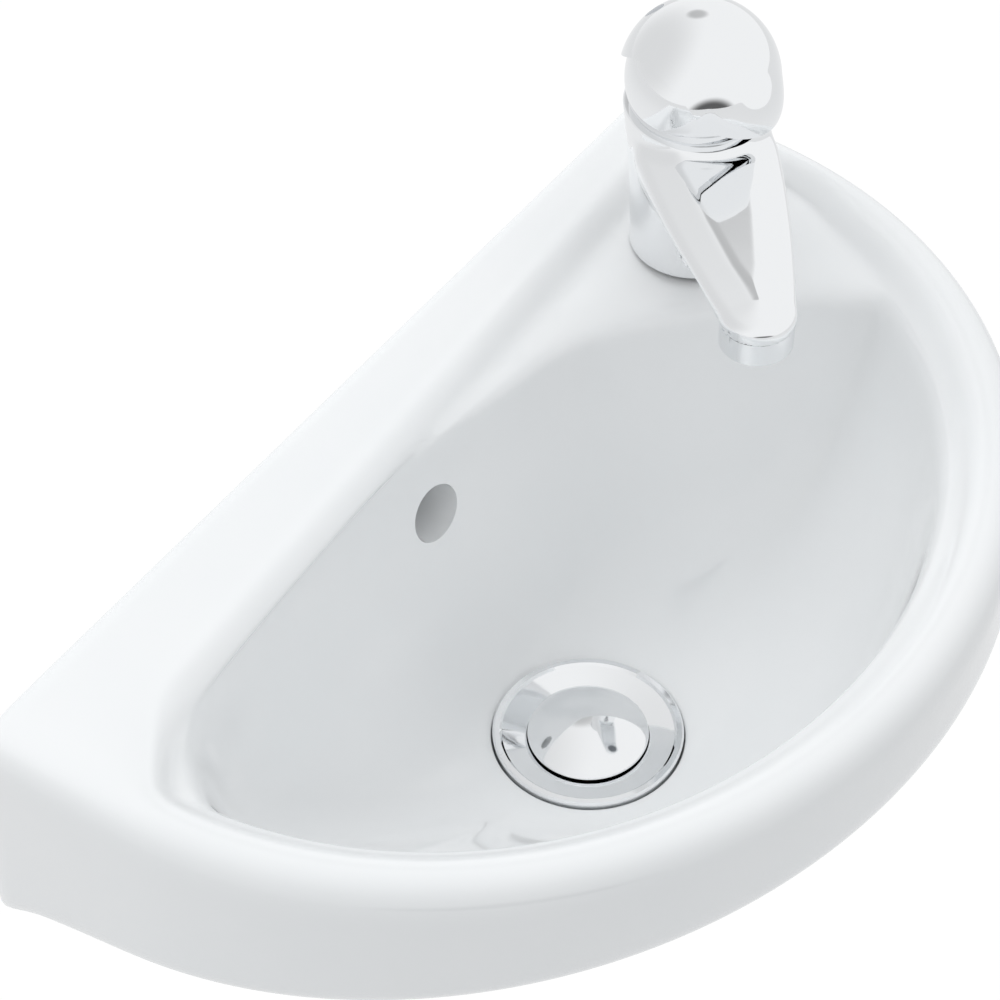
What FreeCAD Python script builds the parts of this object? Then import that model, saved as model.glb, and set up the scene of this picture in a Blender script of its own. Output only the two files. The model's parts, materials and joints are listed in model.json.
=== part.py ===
"""Wall-hung hand-rinse basin with a single-lever mixer and a push-plug waste.

Frame: origin midway between the two wall-bolt holes on the wall face, +X along the
wall, +Y into the wall, +Z up.  Lengths are in millimetres.
"""
import FreeCAD
import Part
import Sketcher
import math
import os
import re

Vector = FreeCAD.Vector
doc = FreeCAD.newDocument("hand_rinse_basin")

# ------------------------------------------------------------------ driving dimensions
SIZES = [
    # basin, seen from above
    ("basin_length", 373), ("side_straight", 54), ("front_bulge", 173), ("rim_height", 62),
    ("rim_width", 24), ("rim_round", 12), ("inner_round", 5), ("recess_depth", 8),
    ("recess_slope", 9), ("ledge_right", 20), ("ledge_left", 40), ("corner_round", 9),
    # basin, underside
    ("apron_front", 43), ("apron_wall", 84), ("apron_round", 12), ("belly_below", 33),
    ("belly_half_length", 84), ("belly_bulge", 80), ("ceramic_wall", 9), ("back_plate", 14),
    ("boss_r", 36), ("waste_grip", 40), ("deck_thickness", 13), ("bolt_pocket_drop", 35),
    # bowl and its holes
    ("drain_x", -4), ("drain_y", -103), ("bowl_depth", 105),
    ("overflow_r", 9.5), ("overflow_drop", 35), ("channel_width", 30), ("channel_depth", 10),
    ("channel_drop", 12), ("waste_hole_r", 23), ("bolt_spacing", 280), ("bolt_hole_r", 7),
    ("tap_inset", 56.5), ("tap_y", -53), ("tap_hole_r", 17.5),
    # waste
    ("flange_r", 32), ("flange_proud", 1.8), ("flange_body", 2.6), ("flange_lip", 2.4),
    ("dish_fall", 2.8), ("throat_r", 19.8), ("throat_depth", 4), ("thread_r", 20.95),
    ("waste_bore_r", 18.5), ("waste_length", 80), ("seat_clearance", 1.5),
    ("seal_thickness", 1.8), ("cone_seal_height", 6), ("back_nut_height", 12),
    ("back_nut_r", 31), ("thread_clearance", 0.05), ("plug_r", 19.3), ("plug_edge", 2),
    ("plug_crown", 5.5), ("plug_sink", 0.9), ("plug_seal_height", 2.5), ("stem_r", 4),
    ("stem_length", 38), ("barrel_hole_r", 9), ("barrel_drop", 12), ("barrel_height", 36),
    ("hub_wall", 2.5), ("hub_drop", 28), ("hub_height", 10), ("arm_width", 3),
    ("running", 0.05), ("window_width", 11),
    # mixer body, above the deck
    ("base_r", 21.5), ("waist_r", 22.6), ("shoulder_r", 25), ("body_height", 61),
    ("spigot_r", 16), ("spigot_depth", 3), ("gasket_proud", 0.5), ("gasket_groove", 1),
    ("gasket_width", 3), ("spout_reach", 97), ("spout_turn", 46), ("outlet_drop", 17),
    ("aerator_r", 12), ("aerator_height", 9), ("aerator_thread_r", 10.5),
    ("aerator_thread", 5), ("tip_r", 12.6), ("waterway_r", 4), ("cartridge_r", 17.4),
    ("cartridge_depth", 35), ("cartridge_shoulder", 24), ("cartridge_top", 34),
    ("cartridge_wall", 3), ("carrier_r", 11), ("neck_r", 9.5), ("disc_height", 4),
    ("nut_r", 18.6), ("nut_height", 7), ("nut_hex", 3), ("skirt_r", 20), ("skirt_wall", 1.2),
    ("skirt_depth", 7), ("inlet_r", 4.5), ("inlet_depth", 12), ("inlet_offset", 6.5),
    ("inlet_back", 6), ("stud_r", 4), ("stud_offset", 11.5), ("stud_length", 58),
    ("clamp_r", 21), ("clamp_gap", 24), ("pad_thickness", 3), ("plate_thickness", 2.5),
    ("stud_nut_height", 9), ("stud_nut_flats", 13),
    # handle
    ("ball_rise", 10), ("ball_r", 26.8), ("hood_wall", 1.8), ("shroud_gap", 0.3),
    ("shroud_wall", 2.5), ("shroud_top", 15.8), ("beak_r", 16), ("beak_reach", 13.5),
    ("beak_drop", 3), ("spindle_size", 7), ("spindle_drop", 8), ("spindle_rise", 22.5),
    ("spindle_fit", 0.1), ("pin_r", 2), ("fork_depth", 10), ("fork_rise", 5),
    ("handle_boss_r", 6.5), ("boss_foot", 11), ("grub_r", 2.5), ("grub_length", 3.6),
    ("grub_height", 19), ("cap_r", 2.9), ("cap_height", 1.4),
]
S = {}
sheet = doc.addObject("Spreadsheet::Sheet", "sizes")
for row, (alias, value) in enumerate(SIZES, start=1):
    sheet.set("A%d" % row, alias)
    sheet.set("B%d" % row, str(value))
    sheet.setAlias("B%d" % row, alias)
    S[alias] = float(value)
doc.recompute()

# Places that follow from the sizes: each is a sum of sizes, taken so many times.
DERIVED = {
    "tap_x": {"basin_length": 0.5, "tap_inset": -1},
    "belly_depth": {"bowl_depth": 1, "belly_below": 1},
    "outlet_height": {"body_height": 1, "outlet_drop": -1},
    "cartridge_floor": {"body_height": 1, "cartridge_depth": -1},
    "ball_height": {"body_height": 1, "ball_rise": 1},
}
for place, terms in DERIVED.items():
    S[place] = sum(times * S[alias] for alias, times in terms.items())


# ------------------------------------------------------------------ helpers
def formula(text):
    """Turn the size names in a formula into references to the sheet."""
    def reference(match):
        word = match.group(0)
        if word in DERIVED:
            return "(%s)" % " + ".join("%g * sizes.%s" % (times, alias)
                                       for alias, times in DERIVED[word].items())
        return "sizes." + word if word in S else word
    return re.sub(r"[a-z][a-z0-9_]*", reference, str(text))


def bind(item, **values):
    """Bind properties of an object; x, y and z mean its place."""
    for name, text in values.items():
        path = "Placement.Base." + name if name in ("x", "y", "z") else name
        item.setExpression(path, formula(text))
    return item


def cylinder(name, radius, bottom, top, x="0", y="0"):
    """Upright cylinder from one height to another."""
    item = doc.addObject("Part::Cylinder", name)
    return bind(item, Radius=radius, Height="(%s) - (%s)" % (top, bottom), x=x, y=y, z=bottom)


def block(name, low, high):
    """Box between two corners."""
    item = doc.addObject("Part::Box", name)
    spans = ["(%s) - (%s)" % pair for pair in zip(high, low)]
    return bind(item, Length=spans[0], Width=spans[1], Height=spans[2],
                x=low[0], y=low[1], z=low[2])


def spoke(name, low, high, angle):
    """Box between two corners, swung round the vertical axis by an angle."""
    item = turn(block(name, low, high), Vector(0, 0, 1), angle)
    return bind(item, x="(%s) * cos(%g) - (%s) * sin(%g)" % (low[0], angle, low[1], angle),
                y="(%s) * sin(%g) + (%s) * cos(%g)" % (low[0], angle, low[1], angle))


def turn(item, axis, angle):
    """Rotate an object about an axis through its own origin."""
    item.Placement = FreeCAD.Placement(item.Placement.Base, FreeCAD.Rotation(axis, angle))
    return item


def fuse(name, *parts):
    item = doc.addObject("Part::MultiFuse", name)
    item.Shapes = list(parts)
    item.Refine = True
    return item


def cut(name, base, *tools):
    """Cut the tools from the base one after another; the last cut has the name."""
    for number, tool in enumerate(tools, start=1):
        last = number == len(tools)
        item = doc.addObject("Part::Cut", name if last else "%s_cut_%d" % (name, number))
        item.Base = base
        item.Tool = tool
        base = item
    return base


def common(name, first, second):
    item = doc.addObject("Part::MultiCommon", name)
    item.Shapes = [first, second]
    return item


def own_plane(body, role):
    return [(plane, "") for plane in body.Origin.OriginFeatures if plane.Role == role]


def outline(body, name, corners, role="XZ_Plane"):
    """Closed sketch through corners whose two distances are bound to formulas."""
    sketch = body.newObject("Sketcher::SketchObject", name)
    sketch.AttachmentSupport = own_plane(body, role)
    sketch.MapMode = "FlatFace"
    count = len(corners)
    turns = [2 * math.pi * i / count for i in range(count)]
    start = [Vector(math.cos(angle), math.sin(angle), 0) for angle in turns]
    for i in range(count):
        sketch.addGeometry(Part.LineSegment(start[i], start[(i + 1) % count]))
    for i in range(count):
        sketch.addConstraint(Sketcher.Constraint("Coincident", i, 2, (i + 1) % count, 1))
    for i, corner in enumerate(corners):
        for kind, text in zip(("DistanceX", "DistanceY"), corner):
            number = sketch.addConstraint(Sketcher.Constraint(kind, -1, 1, i, 1, 1.0))
            sketch.setExpression("Constraints[%d]" % number, formula(text))
    return sketch


def turned(name, corners, x="0", y="0", z="0"):
    """Piece turned about its upright axis from a profile of (radius, height) corners."""
    body = doc.addObject("PartDesign::Body", name)
    profile = outline(body, name + "_profile", corners)
    solid = body.newObject("PartDesign::Revolution", name + "_turned")
    solid.Profile = profile
    solid.ReferenceAxis = (profile, ["V_Axis"])
    solid.Angle = 360
    return bind(body, x=x, y=y, z=z)


def ring(name, outer, inner, bottom, top, x="0", y="0", z="0"):
    """Plain turned ring."""
    return turned(name, [(inner, bottom), (outer, bottom), (outer, top), (inner, top)], x, y, z)


def made(name, shape):
    """Object whose shape comes from code."""
    item = doc.addObject("Part::Feature", name)
    item.Shape = shape
    return item


# Heights of the three places that pieces stand on, and the tap's own frame.
FLOOR = "rim_height - bowl_depth"
DECK = "rim_height - recess_depth"
BALL = DECK + " + ball_height"


# ------------------------------------------------------------------ basin
def half_ellipse(half_length, bulge, height):
    """Front half of an ellipse, from the left round to the right, at a height."""
    centre = Vector(0, -S["side_straight"], height)
    if half_length >= bulge:
        ellipse, start = Part.Ellipse(centre, half_length, bulge), math.pi
    else:
        front, right = centre - Vector(0, bulge, 0), centre + Vector(half_length, 0, 0)
        ellipse, start = Part.Ellipse(front, right, centre), -math.pi / 2
    return Part.ArcOfEllipse(ellipse, start, start + math.pi).toShape()


def d_wire(half_length, bulge, height, back=0.0):
    """D outline: back line, two short straight sides and a half ellipse in front."""
    straight = S["side_straight"]
    corners = [Vector(-half_length, -straight, height), Vector(-half_length, back, height),
               Vector(half_length, back, height), Vector(half_length, -straight, height)]
    sides = [Part.makeLine(corners[i], corners[i + 1]) for i in range(3)]
    return Part.Wire(Part.__sortEdges__(sides + [half_ellipse(half_length, bulge, height)]))


def apron_block():
    """Rim block with its upright apron, deeper at the wall, and rounded edges."""
    half, rim = S["basin_length"] / 2, S["rim_height"]
    depth = S["side_straight"] + S["front_bulge"]
    prism = Part.Face(d_wire(half, S["front_bulge"], rim)).extrude(Vector(0, 0, -S["apron_wall"]))
    low_wall = Vector(-half - 1, 0, rim - S["apron_wall"])
    low_front = Vector(-half - 1, -depth - 1, rim - S["apron_front"])
    middle = (low_wall + low_front) / 2 + Vector(0, 0, 0.12 * (S["apron_wall"] - S["apron_front"]))
    high_front = Vector(-half - 1, -depth - 1, rim)
    high_wall = Vector(-half - 1, 0, rim)
    side = Part.Wire([Part.Arc(low_wall, middle, low_front).toShape(),
                      Part.makeLine(low_front, high_front), Part.makeLine(high_front, high_wall),
                      Part.makeLine(high_wall, low_wall)])
    solid = prism.common(Part.Face(side).extrude(Vector(2 * half + 2, 0, 0)))

    def edges(test):
        return [e for e in solid.Edges if e.BoundBox.YMin < -0.01 and test(e.BoundBox)]
    top = edges(lambda box: box.ZMin > rim - 0.01)
    solid = solid.makeFillet(S["rim_round"], top)
    low = edges(lambda box: box.ZMax < rim - S["apron_front"] + 1 and box.YMax - box.YMin > 1)
    return solid.makeFillet(S["apron_round"], low)


def skin(rings):
    """Smooth solid whose side is drawn by rings of points, flat at both ends."""
    around, along = len(rings[0]), len(rings)
    spans = along - 3
    side = Part.BSplineSurface()
    side.buildFromPolesMultsKnots(
        [[Vector(*point) for point in column] for column in zip(*rings)],
        [1] * (around + 1), [4] + [1] * (spans - 1) + [4],
        list(range(around + 1)), list(range(spans + 1)), True, False, 3, 3)
    face = side.toShape()
    ends = [Part.Face(Part.Wire([side.vIso(v).toShape()])) for v in (0, spans)]
    solid = Part.Solid(Part.makeShell([face] + ends))
    solid.fix(1e-4, 1e-4, 1e-3)
    return solid if solid.Volume > 0 else solid.reversed()


def front_arc(half_length, bulge, start, end, count):
    """Plan points of a front half ellipse between two bearings in degrees."""
    bearings = [math.radians(start + (end - start) * i / (count - 1)) for i in range(count)]
    return [(half_length * math.cos(a), -S["side_straight"] + bulge * math.sin(a))
            for a in bearings]


def belly():
    """Underside: D outlines that draw in towards the waste, cut flat at the wall."""
    half, rim = S["basin_length"] / 2, S["rim_height"]
    top = S["apron_front"] - 6
    beyond = 0.6 * S["side_straight"]
    sections = []
    for step in (0, 0.2, 0.45, 0.72, 1):
        inset = step ** 1.7
        half_length = half - 7 + (S["belly_half_length"] - half + 7) * inset
        bulge = S["front_bulge"] - 7 + (S["belly_bulge"] - S["front_bulge"] + 7) * inset
        plan = front_arc(half_length, bulge, 180, 360, 13)
        plan += [(half_length, beyond), (0.8 * half_length, 2 * beyond),
                 (-0.8 * half_length, 2 * beyond), (-half_length, beyond)]
        height = rim - top - (S["belly_depth"] - top) * step
        sections.append([(x, y, height) for x, y in plan])
    solid = skin(sections)
    beyond_wall = Part.makeBox(2 * half, 3 * beyond, 400, Vector(-half, 0, rim - 350))
    return solid.cut(beyond_wall)


def recess():
    """Sunk area inside the rim, with sloping sides and a slanted back line."""
    half, rim = S["basin_length"] / 2, S["rim_height"]
    straight = S["side_straight"]
    slope = S["recess_slope"] / S["recess_depth"]

    def wire(drop):
        inset = S["rim_width"] - S["recess_slope"] + slope * drop
        a, b = half - inset, S["front_bulge"] - inset
        back = slope * drop
        corners = [Vector(-a, -straight, rim - drop), Vector(-a, -S["ledge_left"] - back, rim - drop),
                   Vector(a, -S["ledge_right"] - back, rim - drop), Vector(a, -straight, rim - drop)]
        sides = [Part.makeLine(corners[i], corners[i + 1]) for i in range(3)]
        return Part.Wire(Part.__sortEdges__(sides + [half_ellipse(a, b, rim - drop)]))
    return Part.makeLoft([wire(-2), wire(S["recess_depth"])], True, True)


def ledge_line(x):
    """Front edge of the flat ledge along the wall, wider at the left."""
    share = 0.5 + x / (S["basin_length"] - 2 * (S["rim_width"] - S["recess_slope"]))
    return -S["ledge_left"] + share * (S["ledge_left"] - S["ledge_right"])


# Back edge of the bowl: round the mixer's deck as steps from the tap's axis, then behind
# the bowl as shares of the half length with the distance in front of the ledge.
ROUND_DECK = [(12, -68), (7, -56), (-2, -42), (-24, -19), (-50, 0), (-70, 7)]
ALONG_LEDGE = [(0.18, 14.5), (0.04, 10), (-0.11, 6), (-0.32, 4.5), (-0.59, 5.2),
               (-0.74, 8.4), (-0.80, 15.5)]


def bowl_edge():
    """Plan of the bowl's edge: inside the rim in front, then round the deck and back."""
    half = S["basin_length"] / 2
    inset = S["rim_width"] + 1.5
    points = front_arc(half - inset, S["front_bulge"] - inset, 187, 334, 10)
    points += [(S["tap_x"] + x, S["tap_y"] + y) for x, y in ROUND_DECK]
    points += [(share * half, ledge_line(share * half) - gap) for share, gap in ALONG_LEDGE]
    return points


# Sections of the bowl from its edge to the waste, as pairs of the share of the way out
# from the waste and the share of the depth, each for the front, the back and the left end.
BOWL_STEPS = [
    ((1.0, -0.03), (1.0, -0.03), (1.0, -0.03)), ((0.985, 0.05), (0.985, 0.05), (0.985, 0.05)),
    ((0.94, 0.22), (0.88, 0.24), (0.935, 0.19)), ((0.875, 0.42), (0.75, 0.45), (0.86, 0.32)),
    ((0.80, 0.58), (0.62, 0.62), (0.76, 0.42)), ((0.68, 0.73), (0.49, 0.77), (0.62, 0.54)),
    ((0.50, 0.86), (0.34, 0.885), (0.45, 0.70)), ((0.28, 0.945), (0.18, 0.955), (0.26, 0.86)),
    ((0.12, 0.985), (0.08, 0.99), (0.12, 0.96)), ((0.03, 1.0), (0.03, 1.0), (0.03, 1.0)),
]


def bowl(wall=0.0):
    """Bowl hollow, or with a wall the same form grown outwards by that much."""
    top = S["rim_height"] - S["recess_depth"]
    fall = S["bowl_depth"] - S["recess_depth"]
    foot = S["flange_r"] + S["seat_clearance"]
    sections = []
    for front, back, left in BOWL_STEPS:
        points = []
        for x, y in bowl_edge():
            across, along = x - S["drain_x"], y - S["drain_y"]
            reach = math.hypot(across, along)
            behind = max(0, along / reach) ** 0.7
            beside = max(0, -across / reach) ** 2 * (1 - behind)
            share, depth = [behind * b + beside * c + (1 - behind - beside) * a
                            for a, b, c in zip(front, back, left)]
            grown = (foot + (reach - foot) * share + wall) / reach
            points.append((S["drain_x"] + across * grown, S["drain_y"] + along * grown,
                           top - fall * depth - wall * max(0, front[1])))
        sections.append(points)
    return skin(sections)


def pocket(x_low, x_high, y_low, drop):
    """Hollow behind the bowl, open below, for the tap's or the bolt's fastening."""
    top = S["rim_height"] - drop
    low = Vector(x_low, y_low, top - 200)
    hollow = Part.makeBox(x_high - x_low, -S["back_plate"] - y_low, 200, low)
    uprights = [e for e in hollow.Edges if e.BoundBox.ZMax - e.BoundBox.ZMin > 100]
    return hollow.makeFillet(S["corner_round"], uprights).cut(bowl(S["ceramic_wall"]))


def overflow_channel():
    """Hollow from behind the overflow hole down and forward to the waste hole."""
    half_width = S["channel_width"] / 2
    x_low, rim = S["drain_x"] - half_width, S["rim_height"]
    back = -S["back_plate"] - 3
    top = rim - S["overflow_drop"] + S["overflow_r"]
    low = rim - S["bowl_depth"] - S["channel_drop"] - S["channel_depth"]
    drop = Part.makeBox(2 * half_width, S["channel_depth"], top - low,
                        Vector(x_low, back - S["channel_depth"], low))
    run = Part.makeBox(2 * half_width, back - S["drain_y"], S["channel_depth"],
                       Vector(x_low, S["drain_y"], low))
    return drop.fuse(run)


def basin():
    tap_pocket = pocket(S["tap_x"] - S["clamp_r"] - S["corner_round"] - 5,
                        S["tap_x"] + S["clamp_r"] + 5, S["tap_y"] - S["clamp_r"] - 12,
                        S["recess_depth"] + S["deck_thickness"])
    bolt_x = -S["bolt_spacing"] / 2
    bolt_pocket = pocket(bolt_x - 22, bolt_x + 22, -S["back_plate"] - 30,
                         S["bolt_pocket_drop"])
    blank = fuse("basin_blank", made("apron_block", apron_block()), made("belly", belly()),
                 cylinder("waste_boss", "boss_r", FLOOR + " - waste_grip",
                          FLOOR + " - channel_drop", "drain_x", "drain_y"))
    overflow = cylinder("overflow_hole", "overflow_r", 0, "60", "drain_x", "-back_plate - 5")
    turn(bind(overflow, z="rim_height - overflow_drop"), Vector(1, 0, 0), 90)
    bolts = []
    for side, x in (("left", "-bolt_spacing / 2"), ("right", "bolt_spacing / 2")):
        hole = cylinder("bolt_hole_" + side, "bolt_hole_r", 0, "back_plate + 4", x, "2")
        bolts.append(turn(hole, Vector(1, 0, 0), 90))
    holes = [
        cylinder("tap_hole", "tap_hole_r", DECK + " - 40", DECK + " + 5", "tap_x", "tap_y"),
        cylinder("waste_hole", "waste_hole_r", FLOOR + " - 60", FLOOR + " + 5",
                 "drain_x", "drain_y"),
    ]
    seat = cylinder("waste_seat", "flange_r + seat_clearance",
                    FLOOR + " - flange_body - seal_thickness", FLOOR + " + 8",
                    "drain_x", "drain_y")
    return cut("basin", blank, seat, made("rim_recess", recess()), made("bowl_hollow", bowl()),
               made("tap_pocket", tap_pocket), made("bolt_pocket", bolt_pocket),
               made("overflow_channel", overflow_channel()), overflow, *(bolts + holes))


# ------------------------------------------------------------------ waste
AT_DRAIN = {"x": "drain_x", "y": "drain_y", "z": FLOOR}


def waste():
    """Flanged waste body with its spider and click barrel, seals, nut and plug."""
    seat = "-flange_body"
    nut_low = "-waste_grip - cone_seal_height - back_nut_height"
    body = turned("waste_body_turned", [
        ("waste_bore_r", "-waste_length"), ("thread_r", "-waste_length"),
        ("thread_r", nut_low), ("thread_r - 0.4", nut_low),
        ("thread_r - 0.4", nut_low + " + 1.5"), ("thread_r", nut_low + " + 1.5"),
        ("thread_r", seat),
        ("flange_r", seat), ("flange_r", "flange_proud - 0.7"),
        ("flange_r - 0.7", "flange_proud"), ("flange_r - flange_lip", "flange_proud"),
        ("flange_r - flange_lip - 0.8", "flange_proud - 0.8"),
        ("throat_r + 0.8", "flange_proud - dish_fall"),
        ("throat_r", "flange_proud - dish_fall - 0.5"), ("throat_r", "-throat_depth - 1"),
        ("waste_bore_r", "-throat_depth - 2.5")])
    hub = ring("spider_hub", "barrel_hole_r", "barrel_hole_r - hub_wall",
               "-hub_drop - hub_height", "-hub_drop")
    arms = []
    for number in range(3):
        arms.append(spoke("spider_arm_%d" % number,
                          ("barrel_hole_r - 0.5", "-arm_width / 2", "-hub_drop - hub_height"),
                          ("waste_bore_r + 0.5", "arm_width / 2", "-hub_drop"),
                          60 + 120 * number))
    windows = []
    for number in range(2):
        windows.append(spoke("overflow_window_%d" % number,
                             ("-thread_r - 2", "-window_width / 2",
                              "-channel_drop - channel_depth"),
                             ("thread_r + 2", "window_width / 2", "-channel_drop"),
                             90 * number))
    casting = fuse("waste_casting", body, hub, *arms)
    bind(cut("waste_body", casting, *windows), **AT_DRAIN)
    ring("upper_waste_seal", "flange_r - 1", "waste_hole_r + 0.5",
         "-flange_body - seal_thickness", seat, **AT_DRAIN)
    turned("lower_waste_seal", [
        ("thread_r + thread_clearance", "-waste_grip - cone_seal_height"),
        ("back_nut_r - 1", "-waste_grip - cone_seal_height"), ("back_nut_r - 1", "-waste_grip - 2"),
        ("waste_hole_r + 4", "-waste_grip"), ("thread_r + thread_clearance", "-waste_grip")],
        **AT_DRAIN)
    nut_top = "-waste_grip - cone_seal_height"
    nut = turned("back_nut_turned", [
        ("thread_r + thread_clearance", nut_top + " - back_nut_height"),
        ("back_nut_r - 3", nut_top + " - back_nut_height"),
        ("back_nut_r - 3", nut_top + " - 3"), ("back_nut_r", nut_top + " - 3"),
        ("back_nut_r", nut_top), ("thread_r + thread_clearance", nut_top)])
    lugs = []
    for number in range(6):
        lugs.append(spoke("nut_lug_%d" % number,
                          ("back_nut_r - 3.6", "-3", nut_top + " - back_nut_height"),
                          ("back_nut_r", "3", nut_top + " - 2"), 60 * number))
    bind(fuse("back_nut", nut, *lugs), **AT_DRAIN)
    ring("click_barrel", "barrel_hole_r - hub_wall", "stem_r + running",
         "-barrel_drop - barrel_height", "-barrel_drop", **AT_DRAIN)


def plug():
    """Domed plug, its rubber seal and the stem that slides in the click barrel."""
    low = "-plug_sink - plug_edge"
    disc = cylinder("plug_disc", "plug_r", low, "-plug_sink + plug_crown")
    radius = "(plug_r ^ 2 + plug_crown ^ 2) / (2 * plug_crown)"
    ball = doc.addObject("Part::Sphere", "plug_ball")
    bind(ball, Radius=radius, z="-plug_sink + plug_crown - " + radius)
    bind(common("plug_dome", disc, ball), **AT_DRAIN)
    ring("plug_seal", "plug_r - 0.3", "stem_r", low + " - plug_seal_height", low, **AT_DRAIN)
    under = low + " - plug_seal_height"
    turned("plug_stem", [
        ("0", low + " - stem_length"), ("stem_r - 0.8", low + " - stem_length"),
        ("stem_r", low + " - stem_length + 0.8"), ("stem_r", under + " - 1"),
        ("stem_r + 9", under + " - 1"), ("stem_r + 9", under), ("stem_r", under),
        ("stem_r", low), ("0", low)], **AT_DRAIN)


# ------------------------------------------------------------------ mixer
def at_tap(item, reach="0", level=DECK):
    """Place a finished piece in the tap's own frame, turned with the spout."""
    item.Placement = FreeCAD.Placement(Vector(0, 0, 0),
                                       FreeCAD.Rotation(Vector(0, 0, 1), -S["spout_turn"]))
    return bind(item, x="tap_x - %s * sin(spout_turn)" % reach,
                y="tap_y - %s * cos(spout_turn)" % reach, z=level)


def spout_section(reach, half_width, low, high):
    """Ring across the spout: crowned top with shoulders, tapering underside."""
    widest = low + 0.62 * (high - low)
    points = []
    for step in range(12):
        angle = 2 * math.pi * (step + 0.5) / 12
        across, up = math.cos(angle), math.sin(angle)
        height = (high - widest) if up > 0 else (widest - low)
        flat = 0.72 if up > 0 else 0.95
        points.append((1.05 * half_width * math.copysign(abs(across) ** 0.8, across), -reach,
                       widest + 1.05 * height * math.copysign(abs(up) ** flat, up)))
    return points


def spout():
    """Spout that narrows from the column to a rounded tip over the aerator."""
    reach, tip, top = S["spout_reach"], S["tip_r"], S["body_height"]
    root = S["shoulder_r"] - 0.5
    tip_low = S["outlet_height"] + S["aerator_height"]
    root_low = 0.36 * top
    rings = []
    for share in (0, 0.30, 0.58, 0.82, 1.0):
        half_width = root + (tip - root) * share ** 1.75
        low = root_low + (tip_low - root_low) * min(1, share / 0.82) ** 0.75
        rings.append(spout_section(reach * share, half_width, low, top - 3 + 5 * share ** 2))
    for share in (0.7, 0.98, 1.0):
        shrink = math.sqrt(1.04 - share ** 2)
        high = tip_low + (top + 2 - tip_low) * (0.35 + 0.65 * shrink)
        rings.append(spout_section(reach + tip * share, tip * shrink, tip_low, high))
    return skin(rings)


def mixer_body():
    column_levels = [("base_r", "gasket_proud"), ("base_r + 0.4", "0.3 * body_height"),
                     ("waist_r", "0.6 * body_height"), ("shoulder_r - 0.6", "0.9 * body_height"),
                     ("shoulder_r", "body_height")]
    rings = []
    for number, (radius, height) in enumerate(column_levels):
        circle = doc.addObject("Part::Circle", "column_ring_%d" % number)
        rings.append(bind(circle, Radius=radius, z=height))
    column = doc.addObject("Part::Loft", "mixer_column")
    column.Sections = rings
    column.Solid = True
    collar_low = "outlet_height + aerator_height"
    outer = fuse("mixer_outer", column, made("mixer_spout", spout()),
                 cylinder("spigot", "spigot_r", "-spigot_depth", "gasket_proud + 1"),
                 cylinder("outlet_collar", "aerator_r", collar_low, collar_low + " + 6", "0",
                          "-spout_reach"))
    groove = ring("gasket_seat", "base_r - 1", "base_r - 1 - gasket_width",
                  "gasket_proud - 1", "gasket_proud + gasket_groove")
    bores = [
        cylinder("cartridge_bore", "cartridge_r + 0.1", "cartridge_floor", "body_height + 1"),
        cylinder("nut_bore", "nut_r + thread_clearance", "cartridge_floor + cartridge_shoulder",
                 "body_height + 1"),
        cylinder("skirt_bore", "skirt_r + thread_clearance", "body_height - skirt_depth",
                 "body_height + 1"),
        cylinder("outlet_bore", "aerator_thread_r", "outlet_height",
                 "outlet_height + aerator_height + aerator_thread", "0", "-spout_reach"),
        cylinder("stud_hole", "stud_r", "-spigot_depth - 1", "inlet_depth - spigot_depth", "0",
                 "-stud_offset"),
    ]
    for side, x in (("left", "-inlet_offset"), ("right", "inlet_offset")):
        bores.append(cylinder("inlet_" + side, "inlet_r", "-spigot_depth - 1",
                              "inlet_depth - spigot_depth", x, "inlet_back"))
        bores.append(cylinder("riser_" + side, "inlet_r / 2", "0", "cartridge_floor + 1", x,
                              "inlet_back"))
    waterway = cylinder("waterway", "waterway_r", "0", "spout_reach - cartridge_r + 3")
    rise = math.degrees(math.atan2(9, S["spout_reach"] - S["cartridge_r"]))
    turn(waterway, Vector(1, 0, 0), 90 - rise)
    bind(waterway, y="-cartridge_r + 2", z="0.76 * body_height")
    at_tap(cut("mixer_body", outer, groove, *(bores + [waterway])))
    at_tap(ring("base_gasket", "base_r - 1", "base_r - 1 - gasket_width", "0",
                "gasket_proud + gasket_groove"))


def aerator():
    """Screwed aerator: chromed ring, plastic insert and its flat seal."""
    top = "outlet_height + aerator_height"
    housing = turned("aerator_housing", [
        ("aerator_r - 1.6", "outlet_height"), ("aerator_r - 0.5", "outlet_height"),
        ("aerator_r", "outlet_height + 0.5"), ("aerator_r", top),
        ("aerator_thread_r", top), ("aerator_thread_r", top + " + aerator_thread - 1.5"),
        ("aerator_thread_r - 1.2", top + " + aerator_thread - 1.5"),
        ("aerator_r - 2.7", "outlet_height + 1.2"), ("aerator_r - 1.6", "outlet_height + 1.2")])
    seal = ring("aerator_seal", "aerator_thread_r", "aerator_thread_r - 3",
                top + " + aerator_thread - 1.5", top + " + aerator_thread")
    blank = cylinder("insert_blank", "aerator_thread_r - 1.35", "outlet_height + 1.3",
                     top + " + aerator_thread - 1.5")
    holes = []
    for row in range(-2, 3):
        for column in range(-2, 3):
            if abs(row) + abs(column) > 3:
                continue
            hole = block("jet_%d_%d" % (row + 2, column + 2),
                         ("%g * aerator_thread_r / 3.6 - 1" % row,
                          "%g * aerator_thread_r / 3.6 - 1" % column, "outlet_height"),
                         ("%g * aerator_thread_r / 3.6 + 1" % row,
                          "%g * aerator_thread_r / 3.6 + 1" % column, "outlet_height + 5"))
            holes.append(hole)
    insert = cut("aerator_insert", blank, fuse("jets", *holes))
    for piece in (housing, seal, insert):
        at_tap(piece, "spout_reach")


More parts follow.
